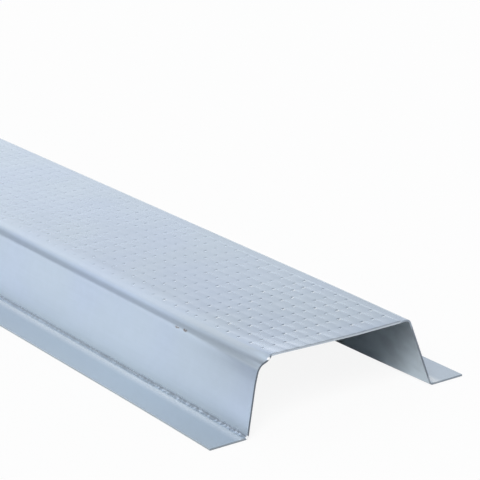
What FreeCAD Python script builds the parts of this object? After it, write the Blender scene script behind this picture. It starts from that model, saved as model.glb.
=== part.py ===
import FreeCAD, Part
import math
import os

# Ceiling furring channel: one length of thin galvanised sheet, rolled to a hat section.
# The section has a flat crown, two sides that lean outwards and two level lips.
# The channel lies on its lips. Its length runs along X, its crown faces +Z,
# and the origin is on the floor under the middle of the length.

# Driving dimensions, in millimetres
stock_length = 2400.0
crown_width = 51.5            # between the outside corners of the crown, as if they were sharp
channel_height = 22.0         # from the floor to the top of the crown
side_run = 4.9                # how far each side leans outwards on its way down to the lip
lip_width = 12.0              # from the foot of a side to the free edge of its lip
sheet_thickness = 0.55
crown_bend_radius = 2.0       # inside face of the bends beside the crown
lip_bend_radius = 1.5         # inside face of the bends beside the lips


def outside_corners():
    """Sharp corners of the face that shows from above, from the left lip's edge to the right one's."""
    crown_corner = crown_width / 2
    foot = crown_corner + side_run
    lip_edge = foot + lip_width
    right_half = [
        (crown_corner, channel_height),
        (foot, sheet_thickness),
        (lip_edge, sheet_thickness),
    ]
    left_half = [(-across, up) for across, up in reversed(right_half)]
    section_plane = -stock_length / 2
    return [FreeCAD.Vector(section_plane, across, up) for across, up in left_half + right_half]


def direction(start, end):
    return (end - start).normalize()


def underside_normal(start, end):
    """Direction from the upper face to the underside, for a run from left to right."""
    along = direction(start, end)
    return FreeCAD.Vector(0, along.z, -along.y)


def underside_corners(corners):
    """The same corners on the other face of the sheet, each run moved by the sheet's thickness."""
    normals = [underside_normal(a, b) for a, b in zip(corners, corners[1:])]
    moved = [corners[0] + normals[0] * sheet_thickness]
    for corner, before, after in zip(corners[1:-1], normals, normals[1:]):
        mitre = (before + after) * (1 / (1 + before.dot(after)))
        moved.append(corner + mitre * sheet_thickness)
    moved.append(corners[-1] + normals[-1] * sheet_thickness)
    return moved


def rounded_path(corners, radii):
    """Straight runs through the corners, with a tangent arc of the given radius at each inner one."""
    edges = []
    start = corners[0]
    for before, corner, after, radius in zip(corners, corners[1:], corners[2:], radii):
        arriving = direction(before, corner)
        leaving = direction(corner, after)
        half_turn = arriving.getAngle(leaving) / 2
        setback = radius * math.tan(half_turn)
        rounding = radius / math.cos(half_turn) - radius
        arc_start = corner - arriving * setback
        arc_middle = corner + (leaving - arriving).normalize() * rounding
        arc_end = corner + leaving * setback
        edges.append(Part.LineSegment(start, arc_start).toShape())
        edges.append(Part.Arc(arc_start, arc_middle, arc_end).toShape())
        start = arc_end
    edges.append(Part.LineSegment(start, corners[-1]).toShape())
    return edges


def hat_section():
    """Closed face of the sheet's cut end."""
    upper = outside_corners()
    under = underside_corners(upper)
    crown_outer_radius = crown_bend_radius + sheet_thickness
    lip_outer_radius = lip_bend_radius + sheet_thickness
    upper_radii = [lip_bend_radius, crown_outer_radius, crown_outer_radius, lip_bend_radius]
    under_radii = [lip_outer_radius, crown_bend_radius, crown_bend_radius, lip_outer_radius]
    outline = rounded_path(upper, upper_radii)
    outline.append(Part.LineSegment(upper[-1], under[-1]).toShape())
    outline += rounded_path(under[::-1], under_radii)
    outline.append(Part.LineSegment(under[0], upper[0]).toShape())
    return Part.Face(Part.Wire(outline))


def furring_channel():
    """The section drawn out along the whole length of the stock."""
    return hat_section().extrude(FreeCAD.Vector(stock_length, 0, 0))


os.makedirs("parts", exist_ok=True)
furring_channel().exportStep("parts/furring_channel.step")
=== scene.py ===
import bmesh
import bpy
import math
import numpy as np
from mathutils import Matrix, Vector


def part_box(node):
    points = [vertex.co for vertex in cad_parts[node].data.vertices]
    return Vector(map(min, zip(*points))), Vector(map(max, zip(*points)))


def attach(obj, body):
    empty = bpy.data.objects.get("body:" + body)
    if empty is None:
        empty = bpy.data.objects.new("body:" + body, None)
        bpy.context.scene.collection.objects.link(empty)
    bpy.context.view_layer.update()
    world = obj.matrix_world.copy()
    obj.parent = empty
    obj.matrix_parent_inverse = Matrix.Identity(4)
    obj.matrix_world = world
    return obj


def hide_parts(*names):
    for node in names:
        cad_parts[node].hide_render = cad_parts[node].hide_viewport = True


# Ceiling furring channel: one length of galvanised sheet, lying on its lips on a white floor.
# Units are metres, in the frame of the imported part: X along the channel, Y across it, Z up.
# The near end is the +X end. The left side is the -Y side, keyed -1 below, and the right side is keyed 1.

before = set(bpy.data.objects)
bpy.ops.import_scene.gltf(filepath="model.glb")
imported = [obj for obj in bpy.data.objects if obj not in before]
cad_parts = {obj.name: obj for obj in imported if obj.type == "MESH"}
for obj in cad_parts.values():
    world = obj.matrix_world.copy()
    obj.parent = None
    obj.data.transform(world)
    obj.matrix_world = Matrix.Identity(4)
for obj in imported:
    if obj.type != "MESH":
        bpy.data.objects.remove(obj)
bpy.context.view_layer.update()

NODE = "furring_channel"

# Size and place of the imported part
low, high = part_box(NODE)
far_end = low[0]
near_end = high[0]
lip_edge = high[1]
crown_top = high[2]
length = near_end - far_end

# Section of the sheet, as the part has it
sheet = 0.00055
crown_half_width = 0.02575
lip_width = 0.012
crown_bend_radius = 0.002       # on the inside
crown_bend_outer_radius = crown_bend_radius + sheet
foot = lip_edge - lip_width

# Where the sheet shows other bends than the part has
fold_radius = 0.0008            # between a side and its lip, tighter than the part's own bend
tight_bend_outer_radius = 0.0017          # between the crown and the right side

# The right side is splayed at the near end
splay_length = 0.05
splay_power = 1.6
splayed_corner = 0.0252
splayed_foot = 0.0316

# Lines of vertices along a side and its lip
margin_steps = 4                # from the knurl's edge to the bend
fold_darkness = (0.5, 0.7, 0.9, 1.0, 1.0, 1.0, 0.95)     # painted shade round the fold, from the side to the lip
fold_greyness = 0.35
lip_lines = (                                             # distance from the foot, painted shade, painted highlight
    (0.00090, 0.55, 0.1),
    (0.00120, 0.10, 0.75),
    (0.00160, 0.0, 1.0),
    (0.00230, 0.0, 1.0),
    (0.00290, 0.0, 0.7),
    (0.00350, 0.0, 0.3),
    (0.00420, 0.0, 0.0),
)
side_lines = (                                            # share of the way down a side, greyness, painted tone: painted light low on the side, above the fold
    (0.04, 0.0, 0.0),
    (0.08, 0.0, 0.0),
    (0.12, 0.0, 0.0),
    (0.17, 0.0, 0.0),
    (0.23, 0.0, 0.0),
    (0.32, 0.0, 0.0),
    (0.50, 0.0, 0.0),
    (0.72, 0.0, 0.0),
    (0.82, 0.1, 0.03),
    (0.88, 0.3, 0.10),
    (0.94, 0.5, 0.16),
    (0.98, 0.6, 0.12),
)

# Lines of vertices across the sides: those along the length of the painted crush shading, and those beyond it
scuffed_columns = 25
scuffed_crowding = 1.3          # above 1, they lie closer together towards the cut
plain_columns_beyond = 24

# Knurl pressed into the crown: rows of long pads with a small pit between one pad and the next
knurl_rows = 12
row_pitch = 0.0037
knurl_shift = 0.0004            # the rows lie a little to the right
knurl_edges = {-1: 0.0214, 1: 0.0219}     # from the middle to the knurl's edge on either side
knurl_end_margin = 0.0008       # the pads flatten out this close to a cut end
pit_pitch = 0.0064
first_pits = (0.0070, 0.0135, 0.0200, 0.0260, 0.0317, 0.0385,       # the first columns, from the near end
              0.0438, 0.0488, 0.0557, 0.0628, 0.0692)
far_end_clearance = 0.5         # pitches without a pit at the far end
pit_wander = 0.0005             # how far a column of pits strays from its even place
quick_wander = 2.4              # radians from one column to the next
slow_wander = 0.37
pit_depth = 0.000088
pit_half_width = 0.00055
pit_far_reach = 0.0005          # from the bottom of a pit to the rim of the pad behind it
pit_strength = (0.7, 1.2)       # least and most share of its height and depth that a pad and its pit have
crisp_depth = 0.75              # pits of more than this share of the depth have crisp slopes
pad_height = 0.00012
pad_gap = 0.35                  # share of the height that is left between one pad and the next
pad_rise = ((0.0009, 0.7), (0.0030, 0.93))     # from a pit towards the near end, share of the height
pad_cross_shares = (0.55, 0.7, 1.0)            # share of the height across a pad, from left to right
pad_fall = 0.00065              # width of the slope on the right of a pad
joined_row = 1                  # in this row the pads run into one another
joined_share = 0.9
# Share of the height and of the depth by the distance from the near end
pad_fade = ((0.025, 1.0), (0.055, 0.65), (0.09, 0.35), (0.17, 0.2), (0.27, 0.25), (0.40, 0.8))
pit_fade = ((0.04, 1.05), (0.08, 0.8), (0.13, 0.65), (0.20, 0.38), (0.27, 0.25), (0.40, 0.9))

# Crushed corner at the near end of the left side. The shoulder path is how the upper face runs, as
# (across, up), where the corner is only flattened. The crush path is how it runs at the cut.
# Beside it the crown is raised, less and less towards the other side.
shoulder_length = 0.050
shoulder_depth = 0.6            # share of the path that the flattening reaches
shoulder_path = [
    (-0.01980, 0.02200),
    (-0.02220, 0.02200),
    (-0.02290, 0.02193),
    (-0.02360, 0.02168),
    (-0.02420, 0.02127),
    (-0.02475, 0.02075),
    (-0.02525, 0.02015),
    (-0.02570, 0.01950),
    (-0.02608, 0.01882),
    (-0.02642, 0.01805),
    (-0.02695, 0.01680),
    (-0.02755, 0.01510),
    (-0.02815, 0.01310),
    (-0.02875, 0.01090),
    (-0.03000, 0.00550),
    (-0.03049, 0.00300),
]
crush_length = 0.026
crush_power = 2.5
crush_path = [
    (-0.01980, 0.02290),
    (-0.02128, 0.02287),
    (-0.02238, 0.02195),
    (-0.02294, 0.02153),
    (-0.02431, 0.02100),
    (-0.02499, 0.02063),
    (-0.02564, 0.02001),
    (-0.02618, 0.01928),
    (-0.02652, 0.01843),
    (-0.02700, 0.01700),
    (-0.02756, 0.01520),
    (-0.02824, 0.01240),
    (-0.02990, 0.00550),
    (-0.03049, 0.00300),
]
curve_steps = 8                 # pieces of the smooth curve between two points of a path
left_splay = -0.0004            # how far the lip below is pushed out at the near end
raised_from = 0.008             # across the crown, where the raised part starts
raised_power = 1.2

# Marks on the zinc by lines of vertices. A painted tone is painted light or shade: how much lighter the zinc
# is, or darker if below zero.
lip_greyness = {-1: 0.95, 1: 0.3}
# Painted light on the left lip and painted shade on the right lip
lip_tone = {-1: 0.07, 1: -0.13}
margin_tone = {-1: 0.04, 1: 0.0}          # between the knurl and the bend: painted light on the left margin
# Painted light along the left bend and painted shade along the right bend
bend_tones = {-1: (0.05, 0.07, 0.07, 0.03, 0.01, 0.01, 0.02, 0.02, 0.0), 1: (-0.12,) * 9}
under_greyness = 1.0
# Painted shade on the underside
under_tone = -0.03
crown_end_tone = -0.55                    # painted shadow line on the crown, right at its cuts

# Painted light and shade on the left side by its crushed corner, standing in for how the crushed shape takes
# the light, with greyer zinc on the margin and the bend. These are added at the cut, and fade along the
# length below.
scuff_length = 0.07
scuff_power = 1.2
crushed_margin_tones = (-0.09, -0.09, -0.09)
crushed_bend_tones = (-0.17, -0.26, -0.44, -0.51, -0.45, -0.21, -0.02, 0.06, 0.19)
crushed_side_tones = (0.02, -0.10, -0.16, -0.15, -0.13, -0.11, -0.08)      # on the side's first lines
crushed_greyness = 0.7                    # on the margin and the bend
fold_end_tone = -0.07                     # painted shade on the side's last lines, above its fold
dulled_side_lines = 2
# Painted shade on the lip by the crushed corner
lip_end_tone = -0.10

# Cut edges, dark with steel and painted shade, chips, and painted glints
# How dark each cut edge is, by the part of the section: dark steel and painted shade
cut_darkness = {"crown": 0.0, "right bend": 0.5, "left side": 0.9, "right side": 0.85, "lip": 0.65}
lip_edge_darkness = 0.3                   # along the lips' free edges
crown_edge_rub = 0.95                     # the crown's cut edge is not dark but carries a painted highlight
sharp_angle = math.radians(60)            # edges that turn by more than this are not smoothed
chips = ((near_end - 0.0444, -0.0262, 0.0199), (near_end - 0.0398, -0.0262, 0.0201))
chip_radius = 0.0006
chip_stretch = 2.6                        # how much longer than wide a chip is
bare_spots = ((near_end, -0.0224, 0.0219), (near_end, -0.0310, 0.0007))    # painted white glints at the crushed end
bare_radius = 0.0007
spot_core = 0.4                           # share of a spot's radius that is full

# Colours of the zinc and of what shows through it
zinc_colours = ((0.528, 0.633, 0.788, 1), (0.537, 0.643, 0.770, 1))       # mottled, from one to the other
grey_zinc = (0.580, 0.665, 0.735, 1)      # of the lips and the underside
bright_zinc = (0.90, 0.93, 0.95, 1)       # of the painted highlight beside the fold, and of the flakes by the chips
rubbed_zinc = (0.90, 0.94, 0.98, 1)       # painted glints on the pits' rims and on the crown's cut edge
chipped_steel = (0.22, 0.19, 0.18, 1)
# Dark cut steel, partly painted shade
cut_steel = (0.10, 0.115, 0.14, 1)
bare_steel = (0.97, 0.98, 1.0, 1)
plain_white = (1, 1, 1, 1)

# Patterns of the zinc. A scale is a noise's, and a stretch divides its length along each axis.
# A range is the least and most that are read, and then, where there are four numbers, what they become.
mottle_scale = 28
mottle_range = (0.35, 0.65)
streak_scale = 30
streak_stretch = (1, 30, 30)
grain_scale = 300
fine_range = (0.3, 0.7, 0.99, 1.01)       # for the streaks and the grains
smudge_scale = 150                        # on the underside
smudge_stretch = (0.6, 1, 1)
smudge_range = (0.38, 0.62, 0.87, 1.06)
underside_range = (0.95, 1.0)             # greyness at which the upper face ends and the underside is full
metal_share = (0.65, 0.8)                 # of the upper face and of the underside
left_worn_range = (-0.0215, -0.0165)      # across the crown, where its painted shade starts and is full
right_worn_range = (0.0245, 0.0265, 1.0, 0.0)       # and where it ends again
worn_range = (0.0, 0.25, 0.85, 0.94)      # painted shade on the crown, darker towards the ends, by the distance from an end, as the next two are
# Painted shade: all the zinc a little darker close to either end
end_range = (0.0, 0.07, 0.94, 1.0)
fold_fade = (0.05, 0.12, 0.94, 0.66)
fold_range = (0.0, 1.0, 1.0, 0.62)
# Painted highlight on the line beside the fold
fold_lightness = 0.9
crinkle_scale = 800                       # along the fold
crinkle_range = (0.35, 0.60)
smooth_fold_range = (0.03, 0.09, 0.0, 0.45)         # by the distance from an end
glint_scale = 1600                        # along the bright line beside the fold
glint_range = (0.3, 0.65, 0.4, 1.0)
bright_line_fade = (0.0, 0.045, 0.6, 1.0)           # by the distance from an end
# Painted shade and dirt in the pits
pit_range = (0.1, 0.7, 1.0, 0.82)
# Painted glints beside the pits
rub_range = (0.7, 1.6)
speck_scale = 2600                        # within a chip
speck_stretch = (0.45, 1, 1)
chip_range = (0.42, 0.52)
flake_range = (0.3, 0.42, 0.7, 0.0)
roughness_scale = 60
roughness_range = (0.3, 0.7, 0.23, 0.27)
fold_roughness = 0.1                      # added, as the cut's is
cut_roughness = 0.3
bare_smoothness = 0.15                    # taken away
bump_distance = 0.00003                   # the heights and the depth below are times this
uneven_scale = 130
uneven_height = 0.05
drawn_scale = 60
drawn_stretch = (1, 20, 20)
drawn_height = 0.01
crinkle_depth = 2.5

# Camera, from the photograph: the frame is a square of image_size pixels
image_size = 480
focal_pixels = 2410.5
camera_azimuth = math.radians(59.891)     # from looking along +Y, turned towards the near end
camera_elevation = math.radians(17.742)
camera_roll = math.radians(-3.990)
camera_distance = 0.68253
frame_shift_right = -0.02842              # from the middle of the near end's foot to the picture's middle
frame_shift_up = 0.04873
sensor_width = 36.0                       # in millimetres
camera_clip_start = 0.01

# Light: the brightness of the room and of the grey panel in it, against the sine of the elevation
room_levels = ((0.0, 1.0), (0.07, 1.41), (0.14, 1.53), (0.2, 1.24), (0.27, 1.0), (0.34, 0.62), (0.5, 0.88),
               (0.68, 0.35), (1.0, 0.18))
panel_levels = ((0.0, 0.04), (0.15, 0.14), (0.3, 0.13), (0.42, 0.06), (0.52, 0.47), (0.62, 1.12), (1.0, 0.18))
panel_towards = (-0.87, -0.50, 0.0)       # the panel stands behind, on the left
panel_tint = (0.95, 1.0, 1.08)
panel_edge = (0.6, 0.95)                  # cosines of the angles where it ends and where it is full
lamp_from = (0.55, -0.48, 0.68)
lamp_strength = 2.9
lamp_angle = math.radians(30)
room_white_to_camera = 1.0                # shares of plain white in the room and in the floor
room_white_in_gloss = 0.15
floor_white_to_camera = 0.9               # the rest keeps the object's shadow
floor_white_in_gloss = 0.2
floor_colour = (0.74, 0.74, 0.74, 1)
floor_shade = (0.032, 0.038)              # from the middle line, where the shade under the channel ends
floor_half_width = 12.0
floor_drop = 0.0002                       # keeps the floor clear of the lips

rng = np.random.default_rng(11)


# Section and columns

def side_rows(side, corner, bend_radius, foot_across):
    """Upper face of one side, from the knurl to the lip's edge.

    Each row has its places across and up, its painted shade and highlight by the fold, its greyness and its
    painted tone, which is painted light or shade.
    """
    turn = math.pi / 2 - math.atan2(foot_across - corner, crown_top - sheet)
    bend_start = corner - bend_radius * math.tan(turn / 2)
    rows = []
    for step in range(1, margin_steps):
        share = step / margin_steps
        across = knurl_edges[side] * (1 - share) + bend_start * share
        rows.append((across, crown_top, 0, 0, 0, margin_tone[side]))
    for angle, tone in zip(np.linspace(0, turn, len(bend_tones[side])), bend_tones[side]):
        rows.append((bend_start + bend_radius * math.sin(angle),
                     crown_top - bend_radius * (1 - math.cos(angle)), 0, 0, 0, tone))
    bend_end = rows[-1]
    fold = []
    fold_centre_across = foot_across + fold_radius * math.tan(turn / 2)
    for angle, dark in zip(np.linspace(turn, 0, len(fold_darkness)), fold_darkness):
        fold.append((fold_centre_across - fold_radius * math.sin(angle),
                     sheet + fold_radius * (1 - math.cos(angle)), dark, 0, fold_greyness, 0))
    for share, grey, tone in side_lines:
        rows.append((bend_end[0] * (1 - share) + fold[0][0] * share,
                     bend_end[1] * (1 - share) + fold[0][1] * share, 0, 0, grey, tone))
    rows += fold
    for reach, dark, light in lip_lines:
        rows.append((foot_across + reach, sheet, dark, light, lip_greyness[side], lip_tone[side]))
    rows.append((lip_edge, sheet, 0, 0, lip_greyness[side], lip_tone[side]))
    return np.array(rows)


def left_rows():
    return side_rows(-1, crown_half_width, crown_bend_outer_radius, foot)


def near_share(along, reach, power):
    """One at the near end, falling to nothing at the given distance from it."""
    return np.clip(1 - (near_end - along) / reach, 0, 1) ** power


def shoulder_share(along):
    """How flattened the shoulder is: most at the near end, and fading smoothly along it."""
    share = near_share(along, shoulder_length, 1)
    return shoulder_depth * share * share * (3 - 2 * share)


def plain_columns():
    """Places along the channel of the lines of vertices across its sides, from the far end."""
    scuffed = near_end - np.linspace(0, 1, scuffed_columns) ** scuffed_crowding * scuff_length
    beyond = np.linspace(near_end - scuff_length, far_end, plain_columns_beyond + 1)[1:]
    return np.concatenate([scuffed, beyond])[::-1]


def section_run(across, up):
    """Distance along a section's polyline from its first point."""
    steps = np.hypot(np.diff(across), np.diff(up))
    return np.concatenate([[0], np.cumsum(steps)])


def smooth_curve(path):
    """A fine polyline through the points of a path: a Catmull-Rom curve."""
    points = np.array(path)
    padded = np.vstack([2 * points[0] - points[1], points, 2 * points[-1] - points[-2]])
    curve = []
    for before, start, end, after in zip(padded, padded[1:], padded[2:], padded[3:]):
        for t in np.linspace(0, 1, curve_steps, endpoint=False):
            curve.append(0.5 * (2 * start + (end - before) * t
                                + (2 * before - 5 * start + 4 * end - after) * t ** 2
                                + (3 * start - before - 3 * end + after) * t ** 3))
    curve.append(points[-1])
    return np.array(curve)


def along_path(path, share):
    """Places across and up of a path's curve, at the given shares of its length."""
    curve = smooth_curve(path)
    run = section_run(curve[:, 0], curve[:, 1])
    run /= run[-1]
    return np.interp(share, run, curve[:, 0]), np.interp(share, run, curve[:, 1])


def crush(along, across, up):
    """How far the crushed corner moves points of the regular upper face, across and up."""
    crushed = near_share(along, crush_length, crush_power)
    flattened = shoulder_share(along) * (1 - crushed)
    start_across, start_up = crush_path[0]
    regular = left_rows()
    whole_across = np.concatenate([[start_across], np.minimum(-regular[:, 0], start_across)])
    whole_up = np.concatenate([[crown_top], regular[:, 1]])
    run = section_run(whole_across, whole_up)
    end_run = np.interp(-crush_path[-1][1], -whole_up, run)
    place = np.interp(-across, -whole_across, run)
    shoulder_across, shoulder_up = along_path(shoulder_path, place / end_run)
    crush_across, crush_up = along_path(crush_path, place / end_run)
    bent_across = flattened * (shoulder_across - across) + crushed * (crush_across - across)
    bent_up = flattened * (shoulder_up - up) + crushed * (crush_up - up)
    nearness = np.clip((raised_from - across) / (raised_from - start_across), 0, 1)
    raised = crushed * (start_up - crown_top) * nearness ** raised_power
    beside = across >= start_across
    below = place >= end_run
    move_across = np.where(beside, 0, np.where(below, (flattened + crushed) * left_splay, bent_across))
    move_up = np.where(beside, raised, np.where(below, 0, bent_up))
    return move_across, move_up


def scuff(along, row_count):
    """How much greyer each row of the left side is by the near end, and its painted light and shade there."""
    crushed_tones = crushed_margin_tones + crushed_bend_tones + crushed_side_tones
    greyness = np.zeros(row_count)
    greyness[:len(crushed_margin_tones) + len(crushed_bend_tones)] = crushed_greyness
    tone = np.zeros(row_count)
    tone[:len(crushed_tones)] = crushed_tones
    lip_rows = len(lip_lines) + 1
    tone[-lip_rows:] = lip_end_tone
    fold_rows = lip_rows + len(fold_darkness)
    tone[-fold_rows - dulled_side_lines:-fold_rows] = fold_end_tone
    share = near_share(along, scuff_length, scuff_power)
    return share * greyness, share * tone


# Knurl

def pit_columns():
    """Places along the channel of the columns of pits, counted from the near end."""
    count = int((length - first_pits[-1]) / pit_pitch - far_end_clearance)
    number = np.arange(1, count)
    wander = pit_wander * np.sin(quick_wander * number) * np.cos(slow_wander * number)
    from_end = np.concatenate([first_pits, first_pits[-1] + pit_pitch * number + wander])
    return near_end - from_end


def knurl_row_middles():
    return (np.arange(knurl_rows) - (knurl_rows - 1) / 2) * row_pitch + knurl_shift


def knurl_lines_along():
    """Lines across the crown, from the far end: place, share of the pad's height, pit number, pit bottom."""
    pits = pit_columns()
    last = len(pits) - 1
    lines = [(near_end, 0.0, 0, False), (near_end - knurl_end_margin, 1.0, 0, False)]
    for number, place in enumerate(pits):
        for reach, share in pad_rise[::-1]:
            lines.append((place + reach, share, number, False))
        lines.append((place, pad_gap, number, True))
        lines.append((place - pit_far_reach, 1.0, number, False))
    lines.append((far_end + knurl_end_margin, 1.0, last, False))
    lines.append((far_end, 0.0, last, False))
    return np.array(lines[::-1])


def knurl_lines_across():
    """Lines along the crown: place, share of the pad's height, the row's number, whether pits lie on it."""
    lines = [(-knurl_edges[-1], 0.0, 0, False)]
    for row, middle in enumerate(knurl_row_middles()):
        for step, share in zip((-1, 0, 1), pad_cross_shares):
            lines.append((middle + step * pit_half_width, share, row, step == 0))
        lines.append((middle + pit_half_width + pad_fall, 0.0, row, False))
    lines.append((knurl_edges[1], 0.0, knurl_rows - 1, False))
    return np.array(lines)


def knurl_relief(along_lines, across_lines):
    """Height of the knurl above the crown at every crossing of the lines, and the strength of each pit."""
    along, along_share, column, column_bottom = along_lines.T
    across_share, row, row_bottom = across_lines.T[1:]
    strength = rng.uniform(*pit_strength, (int(column.max()) + 1, knurl_rows))
    cell = strength[column.astype(int)[:, None], row.astype(int)[None, :]]
    bottom = (column_bottom > 0)[:, None] & (row_bottom > 0)[None, :]
    joined = (row == joined_row)[None, :] & (along_share > 0)[:, None]
    pads = np.where(joined, joined_share, along_share[:, None]) * pad_height * across_share[None, :]
    pad_cell = cell * np.interp(near_end - along, *zip(*pad_fade))[:, None]
    pit_cell = cell * np.interp(near_end - along, *zip(*pit_fade))[:, None]
    return np.where(bottom, -pit_depth * pit_cell, pads * pad_cell), np.where(bottom, pit_cell, 0.0)


# The channel's mesh

class SheetMesh:
    """Vertices and faces of the sheet with the marks on them, gathered skin by skin."""

    def __init__(self):
        self.points = []
        self.count = 0
        self.faces = []
        self.point_marks = {name: [] for name in ("fold_dark", "fold_light", "grey", "tone")}
        self.face_marks = {name: {} for name in ("cut", "hollow", "rub")}

    def add_grid(self, along, across, up, **marks):
        """Adds a grid of vertices and returns their numbers, in the same rows and columns."""
        shape = np.broadcast(along, across, up).shape
        grid = np.stack([np.broadcast_to(v, shape) for v in (along, across, up)], axis=-1)
        self.points.append(grid.reshape(-1, 3))
        for name, values in self.point_marks.items():
            values.append(np.broadcast_to(marks.get(name, 0.0), shape).ravel())
        numbers = np.arange(self.count, self.count + shape[0] * shape[1]).reshape(shape)
        self.count += numbers.size
        return numbers

    def skin(self, numbers):
        """Quads between the rows and columns of a grid."""
        corners = (numbers[:-1, :-1], numbers[1:, :-1], numbers[1:, 1:], numbers[:-1, 1:])
        self.faces += np.stack([c.ravel() for c in corners], axis=1).tolist()

    def stitch(self, first, first_place, second, second_place):
        """Triangles between two lines of vertices that run the same way with unlike spacing."""
        i = 0
        j = 0
        while i + 1 < len(first) or j + 1 < len(second):
            take_first = j + 1 == len(second)
            if not take_first and i + 1 < len(first):
                take_first = first_place[i + 1] <= second_place[j + 1]
            if take_first:
                self.faces.append((int(first[i]), int(first[i + 1]), int(second[j])))
                i += 1
            else:
                self.faces.append((int(first[i]), int(second[j + 1]), int(second[j])))
                j += 1

    def cut_edge(self, first, first_place, second, second_place, darkness):
        """A cut edge of the sheet, between its two faces, as dark as given for each vertex of the first, with
        dark steel and painted shade; where it is not dark at all, it gets a painted glint instead.
        """
        start = len(self.faces)
        known = dict(zip((int(number) for number in first), darkness))
        self.stitch(first, first_place, second, second_place)
        for face in range(start, len(self.faces)):
            dark = known[self.faces[face][0]]
            self.face_marks["cut"][face] = dark
            if dark == 0:
                self.face_marks["rub"][face] = crown_edge_rub


def plain_skins(sheet_mesh, columns, side):
    """Upper face and underside of one side of the channel, as grids of (column, row)."""
    along = columns[:, None]
    greyness = 0.0
    tone = 0.0
    if side < 0:
        rows = left_rows()
        greyness, tone = scuff(along, len(rows))
        across = np.broadcast_to(-rows[:, 0], (len(columns), len(rows)))
        up = np.broadcast_to(rows[:, 1], across.shape)
        move_across, move_up = crush(along, across, up)
        across = across + move_across
        up = up + move_up
    else:
        rows = side_rows(1, crown_half_width, tight_bend_outer_radius, foot)
        splayed = side_rows(1, splayed_corner, tight_bend_outer_radius, splayed_foot)
        share = near_share(along, splay_length, splay_power)
        across = rows[:, 0] * (1 - share) + splayed[:, 0] * share
        up = rows[:, 1] * (1 - share) + splayed[:, 1] * share
    tangent_across = np.gradient(across, axis=1)
    tangent_up = np.gradient(up, axis=1)
    size = np.hypot(tangent_across, tangent_up)
    under_across = across + side * tangent_up / size * sheet
    under_up = up - side * tangent_across / size * sheet
    upper = sheet_mesh.add_grid(along, across, up, fold_dark=rows[:, 2], fold_light=rows[:, 3],
                                grey=rows[:, 4] + greyness, tone=rows[:, 5] + tone)
    under = sheet_mesh.add_grid(along, under_across, under_up, grey=under_greyness, tone=under_tone)
    return upper, under


def crown_upper(sheet_mesh, along_lines, across_lines):
    """Knurled upper face of the crown, as a grid of (line along, line across), from the far end."""
    relief, pit = knurl_relief(along_lines, across_lines)
    along = along_lines[:, 0][:, None]
    across = np.broadcast_to(across_lines[:, 0], relief.shape)
    move_across, move_up = crush(along, across, crown_top)
    tone = np.zeros(along.shape)
    # Painted shadow line along the crown's cut edges
    tone[[0, -1]] = crown_end_tone
    grid = sheet_mesh.add_grid(along, across + move_across, crown_top + relief + move_up, tone=tone)
    first_face = len(sheet_mesh.faces)
    sheet_mesh.skin(grid)
    faces_across = len(across_lines) - 1
    for line, place in np.argwhere(pit > 0):
        for face_place in (place - 1, place):
            behind = first_face + (line - 1) * faces_across + face_place
            before = first_face + line * faces_across + face_place
            sheet_mesh.face_marks["hollow"][behind] = pit[line, place]
            sheet_mesh.face_marks["rub"][before] = pit[line, place]
    return grid


def crown_under(sheet_mesh):
    """Underside of the crown: a grid between the pits, with a shallow bump below each pit."""
    pits = pit_columns()[::-1]
    between = (pits[1:] + pits[:-1]) / 2
    places = np.concatenate([[far_end], between, [near_end]])
    middles = knurl_row_middles()
    between_rows = (middles[1:] + middles[:-1]) / 2
    edges = np.concatenate([[-knurl_edges[-1]], between_rows, [knurl_edges[1]]])
    marks = {"grey": under_greyness, "tone": under_tone}
    along = np.broadcast_to(places[:, None], (len(places), len(edges)))
    across = np.broadcast_to(edges, along.shape)
    move_across, move_up = crush(along, across, crown_top)
    grid = sheet_mesh.add_grid(along, across + move_across, crown_top - sheet + move_up, **marks)
    middles = np.broadcast_to(middles, (len(pits), knurl_rows))
    move_across, move_up = crush(pits[:, None], middles, crown_top)
    bump_up = crown_top - sheet - pit_depth + move_up
    bumps = sheet_mesh.add_grid(pits[:, None], middles + move_across, bump_up, **marks)
    corner_rings = (grid[:-1, :-1], grid[1:, :-1], grid[1:, 1:], grid[:-1, 1:])
    for start, end in zip(corner_rings, corner_rings[1:] + corner_rings[:1]):
        sheet_mesh.faces += np.stack([start.ravel(), end.ravel(), bumps.ravel()], axis=1).tolist()
    return grid, places


def cut_zone(across):
    """The part of the section that a place across the cut end belongs to."""
    if abs(across) > foot:
        return "lip"
    if across < -knurl_edges[-1]:
        return "left side"
    if across > crown_half_width:
        return "right side"
    if across > knurl_edges[1]:
        return "right bend"
    return "crown"


def channel_mesh():
    """The whole sheet as one closed mesh."""
    sheet_mesh = SheetMesh()
    columns = plain_columns()
    along_lines = knurl_lines_along()
    across_lines = knurl_lines_across()
    top = crown_upper(sheet_mesh, along_lines, across_lines)
    bottom, bottom_places = crown_under(sheet_mesh)
    lip_darkness = np.full(len(columns), lip_edge_darkness)
    sides = {}
    for side, crown_edge in ((-1, 0), (1, -1)):
        upper, under = plain_skins(sheet_mesh, columns, side)
        sheet_mesh.skin(upper)
        sheet_mesh.skin(under)
        sheet_mesh.stitch(top[:, crown_edge], along_lines[:, 0], upper[:, 0], columns)
        sheet_mesh.stitch(bottom[:, crown_edge], bottom_places, under[:, 0], columns)
        sheet_mesh.cut_edge(upper[:, -1], columns, under[:, -1], columns, lip_darkness)
        sides[side] = (upper, under)
    points = np.concatenate(sheet_mesh.points)
    for end in (0, -1):
        upper_line = np.concatenate([sides[-1][0][end][::-1], top[end], sides[1][0][end]])
        under_line = np.concatenate([sides[-1][1][end][::-1], bottom[end], sides[1][1][end]])
        places = points[upper_line, 1]
        darkness = [cut_darkness[cut_zone(place)] for place in places]
        sheet_mesh.cut_edge(upper_line, places, under_line, points[under_line, 1], darkness)
    return sheet_mesh


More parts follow.
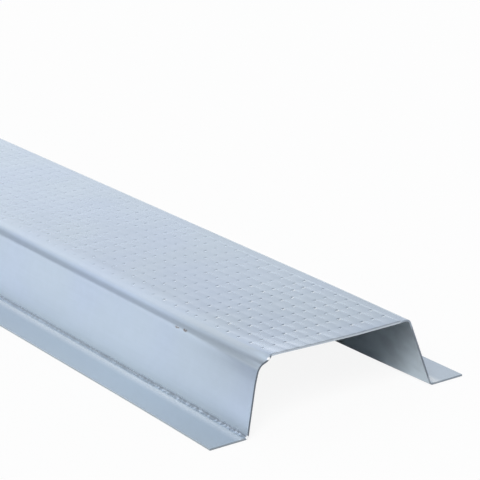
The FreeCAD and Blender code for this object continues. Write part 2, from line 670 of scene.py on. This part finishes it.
def build_channel():
    """The channel as a Blender object, smooth but for its cut edges and its pits."""
    sheet_mesh = channel_mesh()
    mesh = bpy.data.meshes.new("furring_channel_sheet")
    mesh.from_pydata(np.concatenate(sheet_mesh.points).tolist(), [], sheet_mesh.faces)
    editing = bmesh.new()
    editing.from_mesh(mesh)
    bmesh.ops.recalc_face_normals(editing, faces=editing.faces)
    editing.to_mesh(mesh)
    editing.free()
    mesh.shade_smooth()
    mesh.set_sharp_from_angle(angle=sharp_angle)
    for name, grids in sheet_mesh.point_marks.items():
        mesh.attributes.new(name, "FLOAT", "POINT").data.foreach_set("value", np.concatenate(grids))
    for name, marked in sheet_mesh.face_marks.items():
        values = np.zeros(len(sheet_mesh.faces))
        values[list(marked)] = list(marked.values())
        mesh.attributes.new(name, "FLOAT", "FACE").data.foreach_set("value", values)
    flat = np.zeros(len(sheet_mesh.faces), dtype=bool)
    flat[list(sheet_mesh.face_marks["hollow"])] = True
    flat[[face for face, depth in sheet_mesh.face_marks["rub"].items() if depth > crisp_depth]] = True
    mesh.attributes.new("sharp_face", "BOOLEAN", "FACE").data.foreach_set("value", flat)
    channel = bpy.data.objects.new("furring_channel_sheet", mesh)
    bpy.context.collection.objects.link(channel)
    return channel


# Materials

class Nodes:
    """Short forms for building a node tree. A value is a number, a colour or another node's output."""

    # Places of a Mix node's sockets for colours
    mix_inputs = (6, 7)
    mix_output = 2

    def __init__(self, tree):
        self.tree = tree
        tree.nodes.clear()

    def add(self, kind, **settings):
        node = self.tree.nodes.new(kind)
        for name, value in settings.items():
            setattr(node, name, value)
        return node

    def link(self, output, target):
        self.tree.links.new(output, target)

    def give(self, target, value):
        if isinstance(value, bpy.types.NodeSocket):
            self.link(value, target)
        else:
            target.default_value = value

    def math(self, operation, first, second=0.0):
        node = self.add("ShaderNodeMath", operation=operation)
        self.give(node.inputs[0], first)
        self.give(node.inputs[1], second)
        return node.outputs[0]

    def vector(self, operation, first, second=(0, 0, 0)):
        node = self.add("ShaderNodeVectorMath", operation=operation)
        self.give(node.inputs[0], first)
        self.give(node.inputs[1], second)
        gives_number = operation in ("LENGTH", "DOT_PRODUCT")
        return node.outputs["Value" if gives_number else "Vector"]

    def split(self, vector):
        """Outputs for the X, Y and Z of a vector."""
        node = self.add("ShaderNodeSeparateXYZ")
        self.link(vector, node.inputs["Vector"])
        return node.outputs

    def ramp(self, value, low, high, to_low=0.0, to_high=1.0):
        """Smooth step from one level to another as the value goes from low to high."""
        node = self.add("ShaderNodeMapRange", interpolation_type="SMOOTHSTEP")
        self.give(node.inputs["Value"], value)
        for name, number in (("From Min", low), ("From Max", high), ("To Min", to_low), ("To Max", to_high)):
            node.inputs[name].default_value = number
        return node.outputs["Result"]

    def blend(self, share, first, second, kind="MIX"):
        """Mix of two colours."""
        node = self.add("ShaderNodeMix", data_type="RGBA", blend_type=kind)
        self.give(node.inputs[0], share)
        for place, colour in zip(self.mix_inputs, (first, second)):
            self.give(node.inputs[place], colour)
        return node.outputs[self.mix_output]

    def darken(self, colour, value):
        """The colour times a grey value."""
        return self.blend(1.0, colour, value, "MULTIPLY")

    def noise(self, place, scale, stretch=(1, 1, 1), detail=2):
        node = self.add("ShaderNodeTexNoise")
        self.link(self.vector("MULTIPLY", place, stretch), node.inputs["Vector"])
        node.inputs["Scale"].default_value = scale
        node.inputs["Detail"].default_value = detail
        return node.outputs["Fac"]

    def attribute(self, name):
        return self.add("ShaderNodeAttribute", attribute_name=name).outputs["Fac"]

    def spot(self, place, centre, radius, stretch):
        """One at a point, falling to nothing at the radius, which is stretched along X."""
        offset = self.vector("SUBTRACT", place, centre)
        distance = self.vector("LENGTH", self.vector("MULTIPLY", offset, (1 / stretch, 1, 1)))
        return self.ramp(distance, radius * spot_core, radius, 1.0, 0.0)

    def spots(self, place, centres, radius, stretch=1.0):
        total = self.spot(place, centres[0], radius, stretch)
        for centre in centres[1:]:
            total = self.math("MAXIMUM", total, self.spot(place, centre, radius, stretch))
        return total

    def white_share(self, to_camera, in_gloss):
        """Share of plain white, in what the camera sees and in what is mirrored or seen through."""
        ray = self.add("ShaderNodeLightPath").outputs
        mirrored = self.math("MAXIMUM", ray["Is Glossy Ray"], ray["Is Transmission Ray"])
        seen = self.math("MULTIPLY", ray["Is Camera Ray"], to_camera)
        return self.math("ADD", seen, self.math("MULTIPLY", mirrored, in_gloss))

    def mix_shaders(self, share, first, second):
        node = self.add("ShaderNodeMixShader")
        for target, value in zip(node.inputs, (share, first, second)):
            self.link(value, target)
        return node.outputs["Shader"]

    def surface(self, kind, shader):
        self.link(shader, self.add(kind).inputs["Surface"])


def new_material(name):
    material = bpy.data.materials.new(name)
    material.use_nodes = True
    return material, Nodes(material.node_tree)


def zinc_colour(nodes, place, marks):
    """Zinc with faint mottling and drawing streaks; painted light and shade by lines of vertices, in the
    fold, on the crown and towards the ends; painted shade and dirt in the pits; painted highlights and
    glints; and dark cut edges that are partly painted shade.
    """
    mottle = nodes.ramp(nodes.noise(place, mottle_scale, detail=1), *mottle_range)
    colour = nodes.blend(mottle, *zinc_colours)
    streaks = nodes.noise(place, streak_scale, streak_stretch, detail=3)
    colour = nodes.darken(colour, nodes.ramp(streaks, *fine_range))
    grains = nodes.noise(place, grain_scale)
    colour = nodes.darken(colour, nodes.ramp(grains, *fine_range))
    colour = nodes.blend(marks["grey"], colour, grey_zinc)
    # Painted light and shade by lines of vertices
    colour = nodes.darken(colour, nodes.math("ADD", marks["tone"], 1.0))
    smudges = nodes.noise(place, smudge_scale, smudge_stretch, detail=3)
    smudged = nodes.darken(colour, nodes.ramp(smudges, *smudge_range))
    colour = nodes.blend(nodes.ramp(marks["grey"], *underside_range), colour, smudged)
    # Painted shade on the crown, darker towards both ends
    worn = nodes.darken(colour, nodes.ramp(marks["from_end"], *worn_range))
    colour = nodes.blend(marks["knurled"], colour, worn)
    # Painted shade close to either end
    colour = nodes.darken(colour, nodes.ramp(marks["from_end"], *end_range))
    # Painted shade in the fold's crease
    colour = nodes.darken(colour, nodes.ramp(marks["fold_dark"], *fold_range))
    # Painted highlight beside the fold
    colour = nodes.blend(nodes.math("MULTIPLY", marks["fold_light"], fold_lightness), colour, bright_zinc)
    # Painted shade and dirt in the pits
    colour = nodes.darken(colour, nodes.ramp(marks["hollow"], *pit_range))
    # Painted glints on the pits' rims and on the crown's cut edge
    colour = nodes.blend(nodes.ramp(marks["rub"], *rub_range), colour, rubbed_zinc)
    colour = nodes.blend(marks["flakes"], colour, bright_zinc)
    colour = nodes.blend(marks["chips"], colour, chipped_steel)
    # Dark cut steel, partly painted shade
    colour = nodes.blend(marks["cut"], colour, cut_steel)
    # Painted white glints at the crushed end
    return nodes.blend(marks["bare"], colour, bare_steel)


def zinc_roughness(nodes, place, marks):
    rough = nodes.ramp(nodes.noise(place, roughness_scale), *roughness_range)
    rough = nodes.math("ADD", rough, nodes.math("MULTIPLY", marks["fold_dark"], fold_roughness))
    rough = nodes.math("ADD", rough, nodes.math("MULTIPLY", marks["cut"], cut_roughness))
    return nodes.math("SUBTRACT", rough, nodes.math("MULTIPLY", marks["bare"], bare_smoothness))


def zinc_bump(nodes, place, marks):
    """Fine unevenness of the coating, drawing streaks and the crinkles of the fold."""
    uneven = nodes.math("MULTIPLY", nodes.noise(place, uneven_scale, detail=1), uneven_height)
    drawn = nodes.math("MULTIPLY", nodes.noise(place, drawn_scale, drawn_stretch), drawn_height)
    crinkled = nodes.math("MULTIPLY", marks["fold_dark"], crinkle_depth)
    bump = nodes.add("ShaderNodeBump")
    bump.inputs["Strength"].default_value = 1.0
    bump.inputs["Distance"].default_value = bump_distance
    nodes.link(nodes.math("SUBTRACT", nodes.math("ADD", uneven, drawn), crinkled), bump.inputs["Height"])
    return bump.outputs["Normal"]


def fold_marks(nodes, place, from_end):
    """Painted shade in the crinkled fold and painted highlight with glints on the line beside it, plainer
    further from an end.
    """
    crinkles = nodes.ramp(nodes.noise(place, crinkle_scale, detail=3), *crinkle_range)
    smooth = nodes.ramp(from_end, *smooth_fold_range)
    crinkles = nodes.math("MULTIPLY", crinkles, nodes.math("SUBTRACT", 1.0, smooth))
    crinkles = nodes.math("ADD", crinkles, smooth)
    dark = nodes.math("MULTIPLY", nodes.attribute("fold_dark"), crinkles)
    dark = nodes.math("MULTIPLY", dark, nodes.ramp(from_end, *fold_fade))
    glints = nodes.ramp(nodes.noise(place, glint_scale), *glint_range)
    glints = nodes.math("MULTIPLY", glints, nodes.ramp(from_end, *bright_line_fade))
    light = nodes.math("MULTIPLY", nodes.attribute("fold_light"), glints)
    return dark, light


def zinc_marks(nodes, place):
    """Where the sheet is folded, pitted, cut and chipped, and where shade and glints are painted, from its
    mesh and its places.
    """
    marks = {name: nodes.attribute(name) for name in ("cut", "hollow", "rub", "grey", "tone")}
    parts = nodes.split(place)
    left_worn = nodes.ramp(parts["Y"], *left_worn_range)
    right_worn = nodes.ramp(parts["Y"], *right_worn_range)
    marks["knurled"] = nodes.math("MULTIPLY", left_worn, right_worn)
    marks["from_end"] = nodes.math("SUBTRACT", near_end, nodes.math("ABSOLUTE", parts["X"]))
    marks["fold_dark"], marks["fold_light"] = fold_marks(nodes, place, marks["from_end"])
    chipped = nodes.spots(place, chips, chip_radius, chip_stretch)
    specks = nodes.noise(place, speck_scale, speck_stretch)
    marks["chips"] = nodes.math("MULTIPLY", chipped, nodes.ramp(specks, *chip_range))
    marks["flakes"] = nodes.math("MULTIPLY", chipped, nodes.ramp(specks, *flake_range))
    marks["bare"] = nodes.spots(place, bare_spots, bare_radius)
    return marks


def galvanised_steel():
    """Satin zinc coating with a bluish cast."""
    material, nodes = new_material("galvanised_steel")
    place = nodes.add("ShaderNodeTexCoord").outputs["Object"]
    marks = zinc_marks(nodes, place)
    shader = nodes.add("ShaderNodeBsdfPrincipled")
    nodes.link(nodes.ramp(marks["grey"], *underside_range, *metal_share), shader.inputs["Metallic"])
    nodes.link(zinc_colour(nodes, place, marks), shader.inputs["Base Color"])
    nodes.link(zinc_roughness(nodes, place, marks), shader.inputs["Roughness"])
    nodes.link(zinc_bump(nodes, place, marks), shader.inputs["Normal"])
    nodes.surface("ShaderNodeOutputMaterial", shader.outputs["BSDF"])
    return material


def white_floor():
    """Matt floor, white to the camera but for a light shadow of the object.

    The zinc mirrors a share of the white too, though not from the floor under the channel.
    """
    material, nodes = new_material("white_floor")
    matt = nodes.add("ShaderNodeBsdfDiffuse")
    matt.inputs["Color"].default_value = floor_colour
    glow = nodes.add("ShaderNodeEmission")
    glow.inputs["Color"].default_value = plain_white
    across = nodes.split(nodes.add("ShaderNodeTexCoord").outputs["Object"])["Y"]
    beside = nodes.ramp(nodes.math("ABSOLUTE", across), *floor_shade)
    white = nodes.white_share(floor_white_to_camera, nodes.math("MULTIPLY", beside, floor_white_in_gloss))
    floor = nodes.mix_shaders(white, matt.outputs["BSDF"], glow.outputs["Emission"])
    nodes.surface("ShaderNodeOutputMaterial", floor)
    return material


# Stage

def build_floor():
    mesh = bpy.data.meshes.new("floor")
    quarters = ((-1, -1), (1, -1), (1, 1), (-1, 1))
    corners = [(x * floor_half_width, y * floor_half_width, -floor_drop) for x, y in quarters]
    mesh.from_pydata(corners, [], [(0, 1, 2, 3)])
    floor = bpy.data.objects.new("floor", mesh)
    bpy.context.collection.objects.link(floor)
    mesh.materials.append(white_floor())
    return floor


def level_ramp(nodes, height, levels, tint=(1.0, 1.0, 1.0)):
    """A ramp of grey levels, lightly tinted, over the sine of the elevation."""
    ramp = nodes.add("ShaderNodeValToRGB")
    stops = ramp.color_ramp.elements
    stops[0].position = levels[0][0]
    stops[1].position = levels[-1][0]
    for place, level in levels[1:-1]:
        stops.new(place)
    for stop, (place, level) in zip(stops, levels):
        stop.color = (level * tint[0], level * tint[1], level * tint[2], 1)
    nodes.link(height, ramp.inputs["Fac"])
    return ramp.outputs["Color"]


def background(nodes, colour):
    node = nodes.add("ShaderNodeBackground")
    nodes.give(node.inputs["Color"], colour)
    return node.outputs["Background"]


def build_world():
    """White to the camera; to everything else, a bright room with a grey panel behind on the left.

    The zinc mirrors a share of the white with the room.
    """
    world = bpy.data.worlds.new("studio")
    bpy.context.scene.world = world
    world.use_nodes = True
    nodes = Nodes(world.node_tree)
    direction = nodes.add("ShaderNodeTexCoord").outputs["Generated"]
    height = nodes.split(direction)["Z"]
    heading = nodes.vector("NORMALIZE", nodes.vector("MULTIPLY", direction, (1, 1, 0)))
    facing = nodes.vector("DOT_PRODUCT", heading, panel_towards)
    room = level_ramp(nodes, height, room_levels)
    panel = level_ramp(nodes, height, panel_levels, panel_tint)
    room = nodes.blend(nodes.ramp(facing, *panel_edge), room, panel)
    white = nodes.white_share(room_white_to_camera, room_white_in_gloss)
    sky = nodes.mix_shaders(white, background(nodes, room), background(nodes, plain_white))
    nodes.surface("ShaderNodeOutputWorld", sky)


def build_lamp():
    """One soft lamp, high in front of the near end, on the left. The zinc doesn't mirror it."""
    lamp = bpy.data.lights.new("lamp", "SUN")
    lamp.energy = lamp_strength
    lamp.angle = lamp_angle
    lamp_object = bpy.data.objects.new("lamp", lamp)
    lamp_object.rotation_euler = Vector(lamp_from).to_track_quat("Z", "Y").to_euler()
    lamp_object.visible_glossy = False
    bpy.context.collection.objects.link(lamp_object)


def build_camera():
    """Camera at the photograph's viewing angle, placed from the middle of the near end's foot."""
    right = Vector((math.cos(camera_azimuth), math.sin(camera_azimuth), 0))
    back = Vector((math.sin(camera_azimuth) * math.cos(camera_elevation),
                   -math.cos(camera_azimuth) * math.cos(camera_elevation),
                   math.sin(camera_elevation)))
    up = back.cross(right)
    turned_right = right * math.cos(camera_roll) + up * math.sin(camera_roll)
    turned_up = up * math.cos(camera_roll) - right * math.sin(camera_roll)
    camera = bpy.data.cameras.new("camera")
    camera.sensor_width = sensor_width
    camera.lens = focal_pixels / image_size * sensor_width
    camera.clip_start = camera_clip_start
    camera_object = bpy.data.objects.new("camera", camera)
    place = Vector((near_end, 0, 0)) + back * camera_distance
    place += turned_right * frame_shift_right + turned_up * frame_shift_up
    camera_object.matrix_world = Matrix((
        (turned_right.x, turned_up.x, back.x, place.x),
        (turned_right.y, turned_up.y, back.y, place.y),
        (turned_right.z, turned_up.z, back.z, place.z),
        (0, 0, 0, 1)))
    bpy.context.collection.objects.link(camera_object)
    bpy.context.scene.camera = camera_object


channel = build_channel()
channel.data.materials.append(galvanised_steel())
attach(channel, "root")
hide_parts(NODE)
build_floor()
build_world()
build_lamp()
build_camera()
bpy.context.scene.view_settings.view_transform = "Standard"
